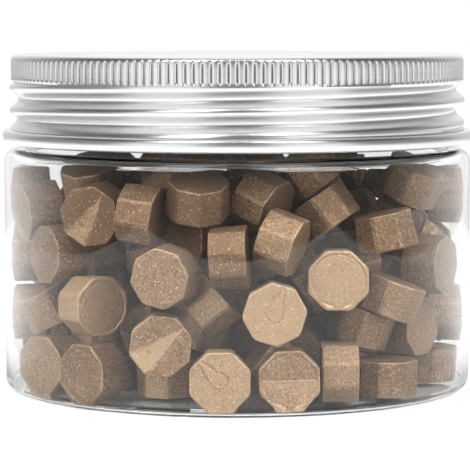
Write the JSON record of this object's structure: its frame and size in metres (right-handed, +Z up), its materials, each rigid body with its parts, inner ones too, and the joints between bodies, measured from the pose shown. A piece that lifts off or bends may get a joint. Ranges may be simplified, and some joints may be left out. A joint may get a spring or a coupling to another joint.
{
  "type": "screw-top jar of sealing wax beads",
  "caption": "Clear round plastic jar with a rolled metal screw lid and foam liner, filled to the shoulder with eight-sided bronze sealing wax beads.",
  "frame": {"origin": "centre of the jar's base, on the surface it stands on", "axes": "+Z up along the jar's and the lid's common axis; the front of the picture faces -Y"},
  "size_m": [0.0724, 0.0724, 0.0513],
  "materials": {
    "clear_plastic": "clear, polished",
    "satin_aluminium": "satin",
    "liner_foam": "fine closed foam",
    "bronze_wax": "pearl bronze wax, soft sheen"
  },
  "bodies": {
    "jar": {"jar": "clear_plastic", "wax_beads_01": "bronze_wax", "wax_beads_02": "bronze_wax", "wax_beads_03": "bronze_wax", "wax_beads_04": "bronze_wax", "wax_beads_05": "bronze_wax", "wax_beads_06": "bronze_wax", "wax_beads_07": "bronze_wax", "wax_beads_08": "bronze_wax", "wax_beads_09": "bronze_wax", "wax_beads_10": "bronze_wax", "wax_beads_11": "bronze_wax", "wax_beads_12": "bronze_wax", "wax_beads_13": "bronze_wax", "wax_beads_14": "bronze_wax", "wax_beads_15": "bronze_wax", "wax_beads_16": "bronze_wax", "wax_beads_17": "bronze_wax", "wax_beads_18": "bronze_wax", "wax_beads_19": "bronze_wax", "wax_beads_20": "bronze_wax", "wax_beads_21": "bronze_wax", "wax_beads_22": "bronze_wax", "wax_beads_23": "bronze_wax", "wax_beads_24": "bronze_wax", "wax_beads_25": "bronze_wax", "wax_beads_26": "bronze_wax", "wax_beads_27": "bronze_wax", "wax_beads_28": "bronze_wax", "wax_beads_29": "bronze_wax", "wax_beads_30": "bronze_wax", "wax_beads_31": "bronze_wax", "wax_beads_32": "bronze_wax", "wax_beads_33": "bronze_wax", "wax_beads_34": "bronze_wax", "wax_beads_35": "bronze_wax", "wax_beads_36": "bronze_wax", "wax_beads_37": "bronze_wax", "wax_beads_38": "bronze_wax", "wax_beads_39": "bronze_wax", "wax_beads_40": "bronze_wax", "wax_beads_41": "bronze_wax", "wax_beads_42": "bronze_wax", "wax_beads_43": "bronze_wax", "top_bead_01": "bronze_wax", "top_bead_02": "bronze_wax", "top_bead_03": "bronze_wax", "top_bead_04": "bronze_wax", "top_bead_05": "bronze_wax", "top_bead_06": "bronze_wax", "top_bead_07": "bronze_wax", "top_bead_08": "bronze_wax", "top_bead_09": "bronze_wax", "top_bead_10": "bronze_wax", "top_bead_11": "bronze_wax", "top_bead_12": "bronze_wax", "top_bead_13": "bronze_wax"},
    "liner": {"liner": "liner_foam"},
    "lid": {"lid": "satin_aluminium"}
  },
  "joints": [
    {"name": "lid_rise", "type": "slide", "parent": "jar", "child": "liner", "axis": [0, 0, 1], "range_m": [0, 0.014]},
    {"name": "lid_turn", "type": "hinge", "parent": "liner", "child": "lid", "pos_m": [0, 0, 0.0444], "axis": [0, 0, 1], "range_deg": [0, 1440]}
  ],
  "couplings": [
    {"joint": "lid_rise", "follows": "lid_turn", "m_per_rad": 0.00055704}
  ]
}
